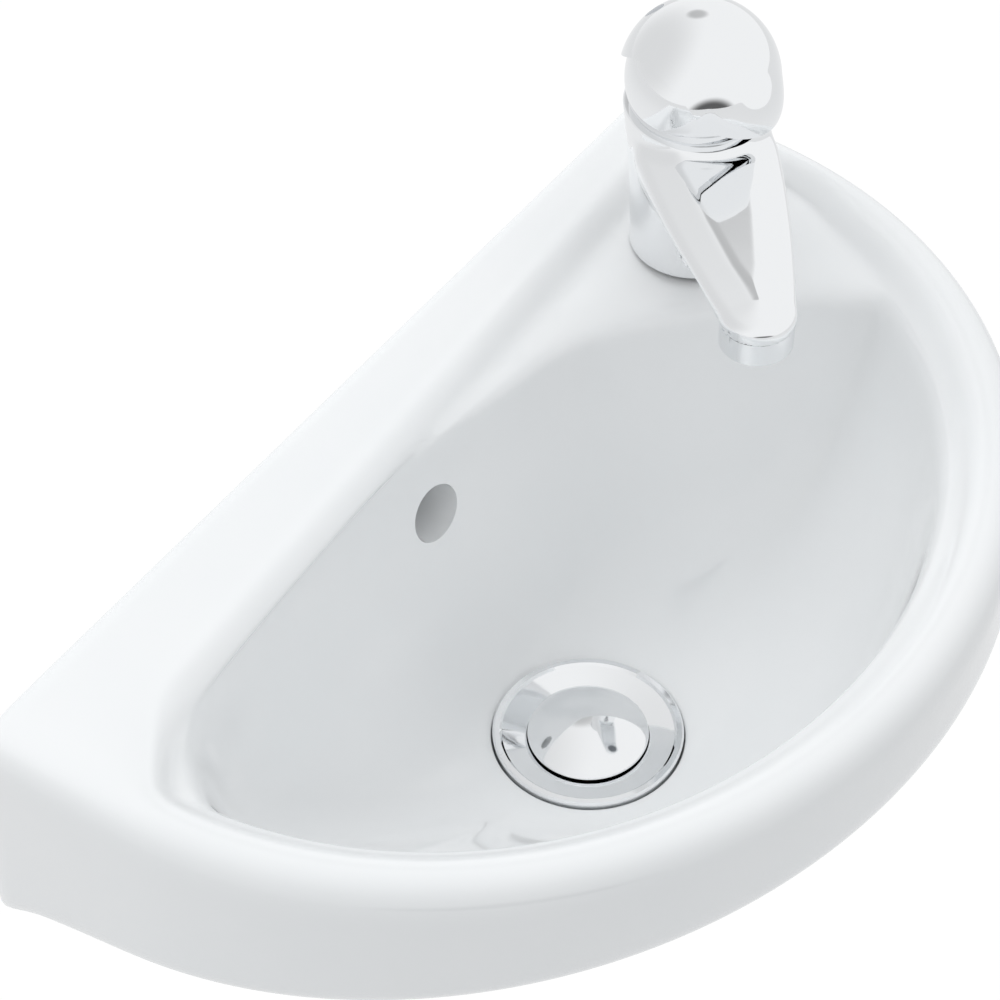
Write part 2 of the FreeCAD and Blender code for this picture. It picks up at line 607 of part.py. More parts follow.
def cartridge():
    """Ceramic-disc cartridge, held by its ring nut, with the turning carrier."""
    floor = "cartridge_floor"
    shoulder, top = floor + " + cartridge_shoulder", floor + " + cartridge_top"
    cavity = "cartridge_r - cartridge_wall"
    disc = floor + " + cartridge_wall"
    at_tap(turned("cartridge_body", [
        ("0", floor), ("cartridge_r", floor), ("cartridge_r", shoulder), (cavity, shoulder),
        (cavity, top), ("carrier_r + running", top), ("carrier_r + running", shoulder + " - 3"),
        (cavity + " - 0.2", shoulder + " - 3"), (cavity + " - 0.2", disc), ("0", disc)]))
    at_tap(cylinder("fixed_disc", cavity + " - 0.4", "0", "disc_height"),
           level="%s + %s" % (DECK, disc))
    at_tap(cylinder("moving_disc", cavity + " - 1.5", "0", "disc_height"),
           level="%s + %s + disc_height + running" % (DECK, disc))
    ring_nut = ring("nut_ring", "nut_r", cavity + " + thread_clearance", shoulder,
                    shoulder + " + nut_height")
    prism = doc.addObject("Part::Prism", "nut_hexagon")
    prism.Polygon = 6
    bind(prism, Circumradius="nut_r - 0.9", Height="nut_hex", z=shoulder + " + nut_height")
    hexagon = cut("nut_head", prism, cylinder("nut_head_bore", cavity + " + thread_clearance",
                                              shoulder, top + " + 5"))
    at_tap(fuse("cartridge_nut", ring_nut, hexagon))
    base = disc + " + 2 * disc_height + 2 * running"
    neck = turned("carrier_turned", [
        ("0", base), (cavity + " - 0.6", base), (cavity + " - 0.6", shoulder + " - 3.1"),
        ("carrier_r", shoulder + " - 3.1"), ("carrier_r", top + " + 2"),
        ("neck_r", top + " + 2"), ("neck_r", "ball_height + fork_rise"),
        ("0", "ball_height + fork_rise")])
    half = "spindle_size / 2 + spindle_fit"
    slot = block("fork_slot", ("-(%s)" % half, -20, "ball_height - fork_depth"),
                 (half, 20, "ball_height + fork_rise + 1"))
    pin_hole = turn(bind(cylinder("fork_pin_hole", "pin_r", 0, 40), x=-20, z="ball_height"),
                    Vector(0, 1, 0), 90)
    bind(cut("cartridge_carrier", neck, slot, pin_hole), x="tap_x", y="tap_y", z=DECK)


def shroud():
    """Ball-shaped cover round the cartridge, with a threaded skirt in the body."""
    outer, inner = "ball_r - hood_wall - shroud_gap", "ball_r - hood_wall - shroud_gap - shroud_wall"
    low = "body_height - ball_height"
    ball = bind(doc.addObject("Part::Sphere", "shroud_ball"), Radius=outer)
    hollow = bind(doc.addObject("Part::Sphere", "shroud_hollow"), Radius=inner)
    zone = cylinder("shroud_zone", "ball_r", low, "shroud_top")
    shell = cut("shroud_shell", common("shroud_band", ball, zone), hollow)
    skirt = ring("shroud_skirt", "skirt_r", "skirt_r - skirt_wall", low + " - skirt_depth",
                 low + " + 4")
    bind(fuse("shroud", shell, skirt), x="tap_x", y="tap_y", z=BALL)


def egg(ball_r, beak_r):
    """Solid of revolution: a ball drawn out into a smaller ball in front of it."""
    reach, drop = S["beak_reach"], S["beak_drop"]
    length = math.hypot(reach, drop)
    flank = math.acos((ball_r - beak_r) / length)

    def around(centre, radius, bearing):
        return Vector(centre + radius * math.cos(bearing), radius * math.sin(bearing), 0)

    back = [around(0, ball_r, bearing) for bearing in (math.pi, (math.pi + flank) / 2, flank)]
    front = [around(length, beak_r, bearing) for bearing in (flank, flank / 2, 0)]
    profile = [Part.Arc(*back).toShape(), Part.makeLine(back[-1], front[0]),
               Part.Arc(*front).toShape(), Part.makeLine(front[-1], back[0])]
    solid = Part.Face(Part.Wire(profile)).revolve(Vector(0, 0, 0), Vector(1, 0, 0), 360)
    solid.rotate(Vector(0, 0, 0), Vector(1, 0, 0), -90)
    solid.rotate(Vector(0, 0, 0), Vector(0, 0, 1), -90)
    solid.rotate(Vector(0, 0, 0), Vector(1, 0, 0), math.degrees(math.atan2(drop, reach)))
    return solid


# Lower rim of the hood seen from its side, back to front, as shares of the ball's radius.
HOOD_RIM = [(1.49, -0.55), (0.92, 0.18), (0.30, 0.57), (-0.20, 0.44), (-0.53, 0.12),
            (-0.86, -0.22), (-1.49, -0.32)]


def below_rim():
    """Everything under the hood's arched rim, as a solid to cut away."""
    ball, half, deep = S["ball_r"], 1.5 * S["ball_r"], -2.2 * S["ball_r"]
    curve = Part.BSplineCurve()
    curve.interpolate([Vector(-half, ball * back, ball * up) for back, up in HOOD_RIM])
    corners = [curve.EndPoint, Vector(-half, curve.EndPoint.y, deep),
               Vector(-half, curve.StartPoint.y, deep), curve.StartPoint]
    wire = Part.Wire([curve.toShape()] + Part.makePolygon(corners).Edges)
    return Part.Face(wire).extrude(Vector(2 * half, 0, 0))


def handle():
    """Ball-shaped lever hood with its boss, spindle, pin, grub screw and screw cap."""
    shell = cut("hood_shell", made("hood_outer", egg(S["ball_r"], S["beak_r"])),
                made("hood_inner", egg(S["ball_r"] - S["hood_wall"], S["beak_r"] - S["hood_wall"])))
    boss = cylinder("hood_boss", "handle_boss_r", "boss_foot", "ball_r - hood_wall + 0.6")
    hood = fuse("hood_with_boss", shell, boss)
    hood.Refine = False
    half = "spindle_size / 2"
    socket = block("spindle_socket", ("-" + half, "-" + half, "boss_foot - 1"),
                   (half, half, "spindle_rise"))
    grub_y = "spindle_size / 2"
    grub_hole = turn(bind(cylinder("grub_hole", "grub_r", 0, "handle_boss_r"),
                          y="handle_boss_r + 2", z="grub_height"), Vector(1, 0, 0), 90)
    cap_hole = turn(bind(cylinder("cap_hole", "cap_r", 0, 12), y="ball_r", z="grub_height"),
                    Vector(1, 0, 0), 90)
    at_ball = {"x": "tap_x", "y": "tap_y", "z": BALL}
    under = made("under_rim", below_rim())
    bind(cut("lever_hood", hood, socket, grub_hole, cap_hole, under), **at_ball)
    bar = block("spindle_bar", ("-" + half, "-" + half, "-spindle_drop"),
                (half, half, "spindle_rise"))
    hole = turn(bind(cylinder("spindle_pin_hole", "pin_r + running", 0, 40), x=-20),
                Vector(0, 1, 0), 90)
    bind(cut("spindle", bar, hole), **at_ball)
    pin = turn(bind(cylinder("pivot_pin", "pin_r", 0, "2 * neck_r - 1"), z="0"),
               Vector(0, 1, 0), 90)
    bind(pin, x="tap_x - neck_r + 0.5", y="tap_y", z=BALL)
    grub = cylinder("grub_blank", "grub_r", 0, "grub_length")
    hexagon = doc.addObject("Part::Prism", "grub_socket")
    hexagon.Polygon = 6
    bind(hexagon, Circumradius="grub_r / 2", Height="grub_length / 2", z="grub_length / 2")
    screw = cut("grub_screw", grub, hexagon)
    turn(screw, Vector(1, 0, 0), -90)
    bind(screw, x="tap_x", y="tap_y + " + grub_y, z=BALL + " + grub_height")
    blank = turn(bind(cylinder("cap_blank", "cap_r", 0, 12), y="ball_r", z="grub_height"),
                 Vector(1, 0, 0), 90)
    face = bind(doc.addObject("Part::Sphere", "cap_face"), Radius="ball_r")
    back = bind(doc.addObject("Part::Sphere", "cap_back"), Radius="ball_r - cap_height")
    bind(cut("screw_cap", common("cap_round", blank, face), back), **at_ball)


def tap_fastening():
    """Stud, rubber pad, clamp plate and nut that hold the mixer to the deck."""
    deck_low = "-deck_thickness"
    levels = [("clamp_pad", deck_low, "pad_thickness"),
              ("clamp_plate", deck_low + " - pad_thickness", "plate_thickness")]
    for name, top, thickness in levels:
        disc = cylinder(name + "_disc", "clamp_r", top + " - " + thickness, top)
        gap = block(name + "_gap", ("-clamp_gap / 2", "-stud_offset + stud_r + 3", "-60"),
                    ("clamp_gap / 2", "clamp_r + 5", "0"))
        hole = cylinder(name + "_hole", "stud_r + 0.2", "-60", "0", "0", "-stud_offset")
        at_tap(cut(name, disc, gap, hole))
    under = deck_low + " - pad_thickness - plate_thickness"
    at_tap(turned("fixing_stud", [
        ("0", "inlet_depth - spigot_depth - stud_length"),
        ("stud_r - 0.6", "inlet_depth - spigot_depth - stud_length"),
        ("stud_r", "inlet_depth - spigot_depth - stud_length + 0.6"),
        ("stud_r", "inlet_depth - spigot_depth"), ("0", "inlet_depth - spigot_depth")]),
        "stud_offset")
    prism = doc.addObject("Part::Prism", "stud_nut_blank")
    prism.Polygon = 6
    bind(prism, Circumradius="stud_nut_flats / sqrt(3)", Height="stud_nut_height",
         z=under + " - stud_nut_height")
    bore = cylinder("stud_nut_bore", "stud_r", "-80", "0")
    at_tap(cut("stud_nut", prism, bore), "stud_offset")


# ------------------------------------------------------------------ build and write
NODES = [
    "basin", "waste_body", "upper_waste_seal", "lower_waste_seal", "back_nut",
    "click_barrel", "plug_dome", "plug_seal", "plug_stem", "mixer_body", "base_gasket",
    "aerator_housing", "aerator_insert", "aerator_seal", "cartridge_body", "fixed_disc",
    "cartridge_nut", "shroud", "fixing_stud", "clamp_pad", "clamp_plate", "stud_nut",
    "cartridge_carrier", "moving_disc", "pivot_pin", "spindle", "lever_hood", "grub_screw",
    "screw_cap",
]
basin()
waste()
plug()
mixer_body()
aerator()
cartridge()
shroud()
handle()
tap_fastening()
doc.recompute()

for item in doc.Objects:
    if "Invalid" in item.State or "Error" in item.State:
        raise RuntimeError("%s did not build: %s" % (item.Name, item.State))
os.makedirs("parts", exist_ok=True)
for name in NODES:
    node = doc.getObject(name)
    node.Label = name
    if node.Shape.isNull() or not node.Shape.isValid():
        raise RuntimeError("%s has no valid shape" % name)
    node.Shape.exportStep("parts/%s.step" % name)
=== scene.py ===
"""Dressed model of a wall-hung hand-rinse basin with its mixer and push-plug waste.

Every length below is in millimetres in the row frame: +X along the wall, +Y into the
wall, +Z up, with the origin midway between the wall-bolt holes.
"""
import json
import math

import bmesh
import bpy
import numpy as np
from mathutils import Matrix, Vector

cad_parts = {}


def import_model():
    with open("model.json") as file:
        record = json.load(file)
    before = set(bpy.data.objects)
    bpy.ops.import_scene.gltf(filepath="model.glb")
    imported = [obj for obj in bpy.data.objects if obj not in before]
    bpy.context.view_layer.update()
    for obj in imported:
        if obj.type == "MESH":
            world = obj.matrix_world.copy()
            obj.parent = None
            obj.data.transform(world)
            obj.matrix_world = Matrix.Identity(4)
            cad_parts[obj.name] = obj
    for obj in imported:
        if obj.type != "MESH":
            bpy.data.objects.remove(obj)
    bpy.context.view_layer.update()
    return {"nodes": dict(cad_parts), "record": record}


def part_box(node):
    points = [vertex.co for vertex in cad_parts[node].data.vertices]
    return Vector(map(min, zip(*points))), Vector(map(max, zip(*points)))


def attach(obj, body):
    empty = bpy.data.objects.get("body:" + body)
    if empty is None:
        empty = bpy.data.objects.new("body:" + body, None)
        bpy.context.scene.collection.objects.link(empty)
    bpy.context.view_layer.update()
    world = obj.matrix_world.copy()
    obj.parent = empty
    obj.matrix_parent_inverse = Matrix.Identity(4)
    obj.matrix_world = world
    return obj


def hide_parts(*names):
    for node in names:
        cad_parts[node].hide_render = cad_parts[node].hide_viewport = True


MM = 0.001
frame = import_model()


def node_box(node):
    """Lowest and highest corner of a CAD node, in millimetres."""
    return [[value / MM for value in corner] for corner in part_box(node)]


# ------------------------------------------------------------------ main sizes
BASIN_LOW, BASIN_HIGH = node_box("basin")
HALF = BASIN_HIGH[0]
RIM = BASIN_HIGH[2]
STRAIGHT = 54                      # straight side in front of the wall
BULGE = -BASIN_LOW[1] - STRAIGHT
DRAIN = (-4, -103)
TAP = (130, -53)
BOLT_X = 140
DECK_DROP = 8                      # ledge and deck below the rim
BOWL_DEPTH = 105
BELLY_LOW = BASIN_LOW[2] - RIM     # underside of the waste's boss below the rim
BELLY_HALF, BELLY_BULGE = 84, 80   # plan of the belly at its foot
BELLY_TOP, BELLY_FOOT = -37, -138
APRON_WALL, APRON_FRONT = -84, -43
WASTE_R = 23                       # hole in the ceramic
BOSS_R = 36
SEAT_R = 32.35                     # recess round the waste's flange
SEAT_LOW = -BOWL_DEPTH - 4.4
CERAMIC_WALL = 9
DECK = RIM - DECK_DROP
TAP_TOP = 61                       # top of the mixer's column above the deck
OUTLET = [(low + high) / 2 for low, high in zip(*node_box("aerator_housing"))][:2]
REACH = math.dist(TAP, OUTLET)
BALL = (*TAP, DECK + 71)
HOOD_R, NOSE_R, HOOD_WALL = 26.8, 16, 1.8
NOSE_REACH, NOSE_DROP = 13.5, 3.0
SCREW_UP = 19                      # grub screw above the ball's centre
FORWARD = ((OUTLET[0] - TAP[0]) / REACH, (OUTLET[1] - TAP[1]) / REACH)
ACROSS = (-FORWARD[1], FORWARD[0])


# ------------------------------------------------------------------ mesh helpers
def new_object(name, data, body="basin_unit"):
    """Object in the scene, riding on a body if one is named."""
    item = bpy.data.objects.new(name, data)
    bpy.context.scene.collection.objects.link(item)
    if body:
        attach(item, body)
    return item


def mesh_from(name, points, faces, smooth=True):
    """Mesh from millimetre points and faces, with outward normals."""
    mesh = bpy.data.meshes.new(name)
    mesh.from_pydata([[value * MM for value in point] for point in points], [], faces)
    work = bmesh.new()
    work.from_mesh(mesh)
    bmesh.ops.remove_doubles(work, verts=work.verts, dist=1e-7)
    bmesh.ops.recalc_face_normals(work, faces=work.faces)
    work.to_mesh(mesh)
    work.free()
    for face in mesh.polygons:
        face.use_smooth = smooth
    return mesh


def grid_faces(rings, around):
    """Quads between closed rings of points laid out one after another."""
    faces = []
    for row in range(rings - 1):
        for step in range(around):
            after = (step + 1) % around
            faces.append((row * around + step, row * around + after,
                          (row + 1) * around + after, (row + 1) * around + step))
    return faces


def settle(item):
    """Apply an object's modifiers to its mesh."""
    graph = bpy.context.evaluated_depsgraph_get()
    mesh = bpy.data.meshes.new_from_object(item.evaluated_get(graph))
    old = item.data
    item.modifiers.clear()
    item.data = mesh
    bpy.data.meshes.remove(old)


def subdivide(item, levels):
    """Round an object's mesh by splitting its faces."""
    modifier = item.modifiers.new("round", "SUBSURF")
    modifier.levels = modifier.render_levels = levels
    settle(item)


def carve(item, cutters):
    """Cut the cutter objects out of an object, then delete them."""
    for cutter in cutters:
        modifier = item.modifiers.new("cut", "BOOLEAN")
        modifier.operation = "DIFFERENCE"
        modifier.solver = "EXACT"
        modifier.object = cutter
    settle(item)
    for cutter in cutters:
        bpy.data.objects.remove(cutter)


def smooth_by_angle(item, degrees):
    """Shade smooth, with sharp edges where faces meet at more than an angle."""
    mesh = item.data
    for face in mesh.polygons:
        face.use_smooth = True
    mesh.set_sharp_from_angle(angle=math.radians(degrees))


def painted(item, material):
    """Give an object one material in place of what it has."""
    item.data.materials.clear()
    item.data.materials.append(material)


def moved_to_ball(item):
    """Shift a piece made about the origin to the centre of the handle's ball."""
    for vert in item.data.vertices:
        vert.co += Vector(BALL) * MM


def rod(name, radius, start, end, sides=48):
    """Plain cylinder between two points, used as a cutter."""
    low, high = Vector(start), Vector(end)
    along = (high - low).normalized()
    side = along.orthogonal().normalized()
    other = along.cross(side)
    points = []
    for place in (low, high):
        for step in range(sides):
            angle = 2 * math.pi * step / sides
            points.append(place + radius * (math.cos(angle) * side + math.sin(angle) * other))
    faces = grid_faces(2, sides)
    faces += [tuple(range(sides)), tuple(range(sides, 2 * sides))]
    return new_object(name, mesh_from(name, points, faces, False), None)


def lathe(name, profile, centre, sides=96, body="basin_unit"):
    """Solid of revolution about an upright axis from (radius, height) pairs."""
    points = []
    for radius, height in profile:
        for step in range(sides):
            angle = 2 * math.pi * step / sides
            points.append((centre[0] + radius * math.cos(angle),
                           centre[1] + radius * math.sin(angle), height))
    faces = grid_faces(len(profile), sides)
    return new_object(name, mesh_from(name, points, faces), body)


# ------------------------------------------------------------------ basin
def d_outline(inset=0.0, back=0.0):
    """Plan of the basin's edge: back line, short sides and a half ellipse in front."""
    half, bulge = HALF - inset, BULGE - inset
    points = [(x, -back) for x in np.linspace(half, -half, 25)[:-1]]
    points += [(-half, y) for y in np.linspace(-back, -STRAIGHT, 5)[:-1]]
    for step in range(52):
        angle = math.pi + math.pi * step / 52
        points.append((half * math.cos(angle), -STRAIGHT + bulge * math.sin(angle)))
    points += [(half, y) for y in np.linspace(-STRAIGHT, -back, 5)[:-1]]
    return points


def along_rays(curve, bearings):
    """Distance from the drain's centre to a closed curve at each bearing."""
    points = np.array(curve + [curve[0]], float) - DRAIN
    reach = []
    for bearing in bearings:
        ray = np.array([math.cos(bearing), math.sin(bearing)])
        best = 0.0
        for start, end in zip(points[:-1], points[1:]):
            span = end - start
            cross = ray[0] * span[1] - ray[1] * span[0]
            if abs(cross) < 1e-9:
                continue
            distance = (start[0] * span[1] - start[1] * span[0]) / cross
            share = (start[0] * ray[1] - start[1] * ray[0]) / cross
            if distance > 0 and -1e-6 <= share <= 1 + 1e-6:
                best = max(best, distance)
        reach.append(best)
    return np.array(reach)


def smooth_curve(points, steps):
    """Closed Catmull-Rom curve through points."""
    out = []
    count = len(points)
    for index in range(count):
        a, b, c, d = (np.array(points[(index + k) % count], float) for k in (-1, 0, 1, 2))
        for step in range(steps):
            t = step / steps
            out.append(tuple(0.5 * (2 * b + (c - a) * t + (2 * a - 5 * b + 4 * c - d) * t ** 2
                                    + (3 * b - a - 3 * c + d) * t ** 3)))
    return out


def front_arc(inset, start, end, count):
    """Points of the inset front ellipse between two bearings in degrees."""
    points = []
    for angle in np.linspace(math.radians(start), math.radians(end), count):
        points.append(((HALF - inset) * math.cos(angle),
                       -STRAIGHT + (BULGE - inset) * math.sin(angle)))
    return points


def ledge_line(x):
    """Front edge of the flat ledge along the wall: narrower behind the mixer."""
    return -30 + 0.062 * x


def basin_rings():
    """Rings of the basin's skin from the waste hole under the basin round to the seat."""
    outer = d_outline()
    plan = np.array(outer) - DRAIN
    bearings = np.arctan2(plan[:, 1], plan[:, 0])
    outer_reach = along_rays(outer, bearings)
    unit = np.stack([np.cos(bearings), np.sin(bearings)], axis=1)
    rings = []

    def ring(reach, height):
        reach = np.broadcast_to(np.asarray(reach, float), outer_reach.shape)
        height = np.broadcast_to(np.asarray(height, float), outer_reach.shape)
        place = np.array(DRAIN) + unit * reach[:, None]
        rings.append(np.column_stack([place, RIM + height]))

    y = np.array([point[1] for point in outer])
    forward = np.clip(-y / (STRAIGHT + BULGE), 0, 1)
    low = APRON_WALL + (APRON_FRONT - APRON_WALL) * forward ** 0.75
    at_wall = y > -0.5
    # waste's boss
    ring(WASTE_R, BELLY_LOW + 24)
    ring(WASTE_R, BELLY_LOW + 0.6)
    ring(WASTE_R + 0.6, BELLY_LOW)
    ring(BOSS_R - 0.6, BELLY_LOW)
    ring(BOSS_R, BELLY_LOW + 0.6)
    ring(BOSS_R, BELLY_LOW + 8)
    # belly, from its foot up to the apron; at the wall it stops below the apron's back
    for step in (1.0, 0.9, 0.75, 0.5, 0.25, 0.08):
        half_length = HALF - 7 + (BELLY_HALF - HALF + 7) * step ** 1.7
        bulge = BULGE - 7 + (BELLY_BULGE - BULGE + 7) * step ** 1.7
        shape = [(x, 0) for x in np.linspace(half_length, -half_length, 13)]
        shape += [(half_length * math.cos(a), -STRAIGHT + bulge * math.sin(a))
                  for a in np.linspace(math.pi, 2 * math.pi, 65)]
        drop = BELLY_TOP + (BELLY_FOOT - BELLY_TOP) * step
        reach = along_rays(shape, bearings)
        if step == 1.0:
            ring(0.55 * reach + 0.45 * BOSS_R, drop - 0.5)
            ring(0.97 * reach, drop)
            continue
        reach = np.minimum(reach, outer_reach)
        flush = at_wall & (reach > outer_reach - 0.3)
        ring(reach, np.where(flush, min(drop, APRON_WALL), drop))
    # apron
    for inset, rise in ((8, 1.0), (3.5, 2.2)):
        ring(np.where(at_wall, outer_reach, along_rays(d_outline(inset), bearings)), low + rise)
    ring(outer_reach - np.where(at_wall, 0, 0.6), low + 7)
    ring(outer_reach, low + 14)
    ring(outer_reach, 0.45 * low - 8)
    ring(outer_reach, -15)
    # rim
    for inset, drop in ((0.2, -9.5), (1.6, -5.0), (4.6, -1.7), (8.5, -0.2)):
        ring(along_rays(d_outline(inset, inset * 0.35), bearings), drop)
    # inner side of the rim and the ledge
    deck = [(x, ledge_line(x)) for x in np.linspace(150, -140, 14)]
    for inset, drop, back in ((12.5, -0.05, 5.5), (15.5, -0.9, 1.2), (18.5, -3.2, -2.4),
                              (21.5, -6.0, -5.6)):
        curve = [(x, y_back + back) for x, y_back in deck]
        curve += front_arc(inset, 182, 345, 60)
        curve += front_arc(inset - 4, 352, 362, 6)
        ring(along_rays(curve, bearings), drop)
    # bowl
    edge_reach = along_rays(bowl_edge(), bearings)
    curve = [(x, y_back - 9) for x, y_back in deck] + front_arc(24, 182, 345, 60)
    curve += front_arc(18, 352, 362, 6)
    foot = np.maximum(along_rays(curve, bearings), edge_reach + 1.2)
    ring(foot, -7.7)
    ring(0.4 * foot + 0.6 * edge_reach, -8.6)
    for reach, drop in bowl_rings(bearings, edge_reach):
        ring(reach, drop)
    # waste seat
    ring(SEAT_R + 0.3, -BOWL_DEPTH - 0.15)
    ring(SEAT_R, -BOWL_DEPTH - 0.7)
    ring(SEAT_R, SEAT_LOW + 0.4)
    ring(SEAT_R - 0.3, SEAT_LOW)
    ring(WASTE_R + 0.4, SEAT_LOW)
    ring(WASTE_R, SEAT_LOW - 0.4)
    ring(WASTE_R, BELLY_LOW + 24)
    return rings


def bowl_rings(bearings, edge_reach):
    """Reach and depth of the bowl's rings: steep in front, sloped behind, a ramp at left."""
    behind = np.clip(np.sin(bearings), 0, 1) ** 0.7
    left = np.clip(-np.cos(bearings), 0, 1) ** 2
    steep = [(0.985, 0.035), (0.965, 0.09), (0.93, 0.24), (0.875, 0.42), (0.80, 0.58),
             (0.68, 0.73), (0.50, 0.86), (0.28, 0.945), (0.10, 0.985), (0.0, 1.0)]
    wall = [(0.985, 0.035), (0.95, 0.09), (0.86, 0.26), (0.74, 0.45), (0.62, 0.62),
            (0.49, 0.77), (0.34, 0.885), (0.18, 0.955), (0.07, 0.99), (0.0, 1.0)]
    ramp = [(0.985, 0.035), (0.965, 0.10), (0.925, 0.22), (0.86, 0.32), (0.76, 0.42),
            (0.62, 0.54), (0.45, 0.70), (0.26, 0.86), (0.10, 0.965), (0.0, 1.0)]
    depth = BOWL_DEPTH - DECK_DROP
    for front_step, wall_step, ramp_step in zip(steep, wall, ramp):
        mix = [behind * wall_step[k] + (1 - behind) * front_step[k] for k in (0, 1)]
        share = [mix[k] + left * (1 - behind) * (ramp_step[k] - mix[k]) for k in (0, 1)]
        yield (SEAT_R + 1.2 + (edge_reach - SEAT_R - 1.2) * share[0],
               -DECK_DROP - depth * share[1])


def bowl_core():
    """Solid of the bowl grown by the wall, kept free of the pockets beneath the deck."""
    sides = 96
    bearings = np.linspace(-math.pi, math.pi, sides, endpoint=False)
    unit = np.stack([np.cos(bearings), np.sin(bearings)], axis=1)
    edge_reach = along_rays(bowl_edge(), bearings)
    points = []
    levels = [(edge_reach, np.full(sides, 20.0))] + list(bowl_rings(bearings, edge_reach))
    for reach, drop in levels:
        place = np.array(DRAIN) + unit * (reach + CERAMIC_WALL)[:, None]
        points += [(*xy, RIM + height - (0 if height > 0 else CERAMIC_WALL))
                   for xy, height in zip(place, drop)]
    faces = grid_faces(len(levels), sides)
    last = (len(levels) - 1) * sides
    faces += [tuple(range(sides)), tuple(range(last, last + sides))]
    return new_object("bowl_core", mesh_from("bowl_core", points, faces, False), None)


def rounded_box(name, low, high, corner=9):
    """Upright box with rounded corners between two corners, for a pocket."""
    outline = []
    for x, y, turn in ((high[0], high[1], 0), (low[0], high[1], 90), (low[0], low[1], 180),
                       (high[0], low[1], 270)):
        for angle in np.linspace(turn, turn + 90, 7):
            bearing = math.radians(angle)
            outline.append((x + math.copysign(corner, low[0] + high[0] - 2 * x)
                            + corner * math.cos(bearing),
                            y + math.copysign(corner, low[1] + high[1] - 2 * y)
                            + corner * math.sin(bearing)))
    return prism(name, outline, "z", low[2], high[2])


def pockets():
    """Hollows open below: one under the mixer's deck, one behind the left wall bolt."""
    tap = rounded_box("tap_pocket", (TAP[0] - 35, -86, -120), (TAP[0] + 26, -14, RIM - 21))
    bolt = rounded_box("bolt_pocket", (-162, -44, -120), (-118, -14, RIM - 35))
    carve(tap, [bowl_core()])
    carve(bolt, [bowl_core()])
    return [tap, bolt]


def bowl_edge():
    """Plan of the bowl's edge, round the mixer's deck and behind along the ledge."""
    points = front_arc(25.5, 186, 336, 34)
    points += [(142, -121), (137, -109), (128, -95), (106, -72), (80, -53), (60, -45.5),
               (34, -42.5), (8, -39.5), (-20, -37), (-60, -38), (-110, -42), (-138, -47),
               (-150, -55)]
    return smooth_curve(points, 4)


def basin():
    """Ceramic basin, with its overflow, tap hole, bolt holes and pockets cut."""
    rings = basin_rings()
    faces = grid_faces(len(rings), len(rings[0]))
    item = new_object("basin_ceramic", mesh_from("basin_ceramic", np.concatenate(rings), faces))
    subdivide(item, 2)
    overflow_x, overflow_z = DRAIN[0] - 1.5, RIM - 33.5
    drill = [
        rod("overflow_cut", 10.2, (overflow_x, -20, overflow_z),
            (overflow_x, -60, overflow_z), 64),
        rounded_box("overflow_void", (-20, -27, -45), (12, -17, RIM - 20), 3),
        rod("tap_cut", 17.5, (*TAP, RIM - 60), (*TAP, RIM), 64),
        rod("bolt_left", 7, (-BOLT_X, -18, 0), (-BOLT_X, 4, 0), 32),
        rod("bolt_right", 7, (BOLT_X, -18, 0), (BOLT_X, 4, 0), 32),
    ]
    carve(item, drill + pockets())
    smooth_by_angle(item, 40)
    painted(item, glaze())
    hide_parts("basin")


# ------------------------------------------------------------------ mixer
def soft_max(a, b, width):
    """Larger of two fields with the ridge between them rounded."""
    mix = np.clip(0.5 + 0.5 * (a - b) / width, 0, 1)
    return b + (a - b) * mix + width * mix * (1 - mix)


def soft_min(a, b, width):
    return -soft_max(-a, -b, width)


def column_field(place):
    """Column that swells from its foot to its shoulder."""
    across, ahead, up = place.T
    bend = np.polyfit([0, 18, 36, 54, 61, 70], [21.4, 21.8, 22.6, 24.3, 25, 25.9], 3)
    return np.hypot(across, ahead) - np.polyval(bend, up)


def spout_field(place):
    """Tapering spout: level band on top, sloping flanks, tucked sides, arched underside."""
    across, ahead, up = place.T
    share = np.clip(ahead / REACH, 0, 1)
    aside = np.hypot(across, np.maximum(0, ahead - REACH) * 0.985)
    width = 24.3 - 11.8 * share ** 1.75 - 5 * np.clip(1 - ahead / 18, 0, 1) ** 2
    top = 58.2 + 4.0 * share ** 2
    band = np.interp(ahead, [0, 25, 55, 79, 90, 97], [14.0, 11.6, 8.3, 4.5, 1.6, 0.6])
    edge = top - (5.6 - 2.2 * share)
    low = 18 + 35 * np.clip(share / 0.80, 0, 1) ** 0.8
    run, fall = width - band, top - edge
    flank = ((aside - band) * fall + (up - top) * run) / np.hypot(run, fall)
    tuck = np.clip((edge - up) / np.maximum(edge - low, 6), 0, 1.3)
    side = aside - width * (1 - 0.34 * tuck ** 2 * (1 - share ** 3))
    roof = soft_max(up - top, flank, 0.8)
    field = soft_max(roof, side, 3.2)
    return soft_max(field, low - up, 4.0 - 2.6 * share)


def mixer_field(place):
    """Column and spout with a fillet between them that widens under the spout."""
    fillet = 2.5 + 3.5 * np.clip((place[:, 1] - 10) / 14, 0, 1)
    return soft_min(column_field(place), spout_field(place), fillet)


def pulled_to(field, points):
    """Move points along the field's slope until they lie where it is zero."""
    step = 0.02
    for _ in range(8):
        value = field(points)
        slope = np.stack([(field(points + step * axis) - field(points - step * axis))
                          / (2 * step) for axis in np.eye(3)], axis=1)
        size = np.maximum((slope ** 2).sum(axis=1), 0.05)
        points = points - np.clip(value / size, -1, 1)[:, None] * slope
    return points


def from_tap(place):
    """Row-frame points from (across, ahead, up) in the tap's own frame."""
    across, ahead, up = np.asarray(place, float).T
    return np.column_stack([TAP[0] + ahead * FORWARD[0] + across * ACROSS[0],
                            TAP[1] + ahead * FORWARD[1] + across * ACROSS[1], DECK + up])


def open_loop(work):
    return [edge for edge in work.edges if edge.is_boundary]


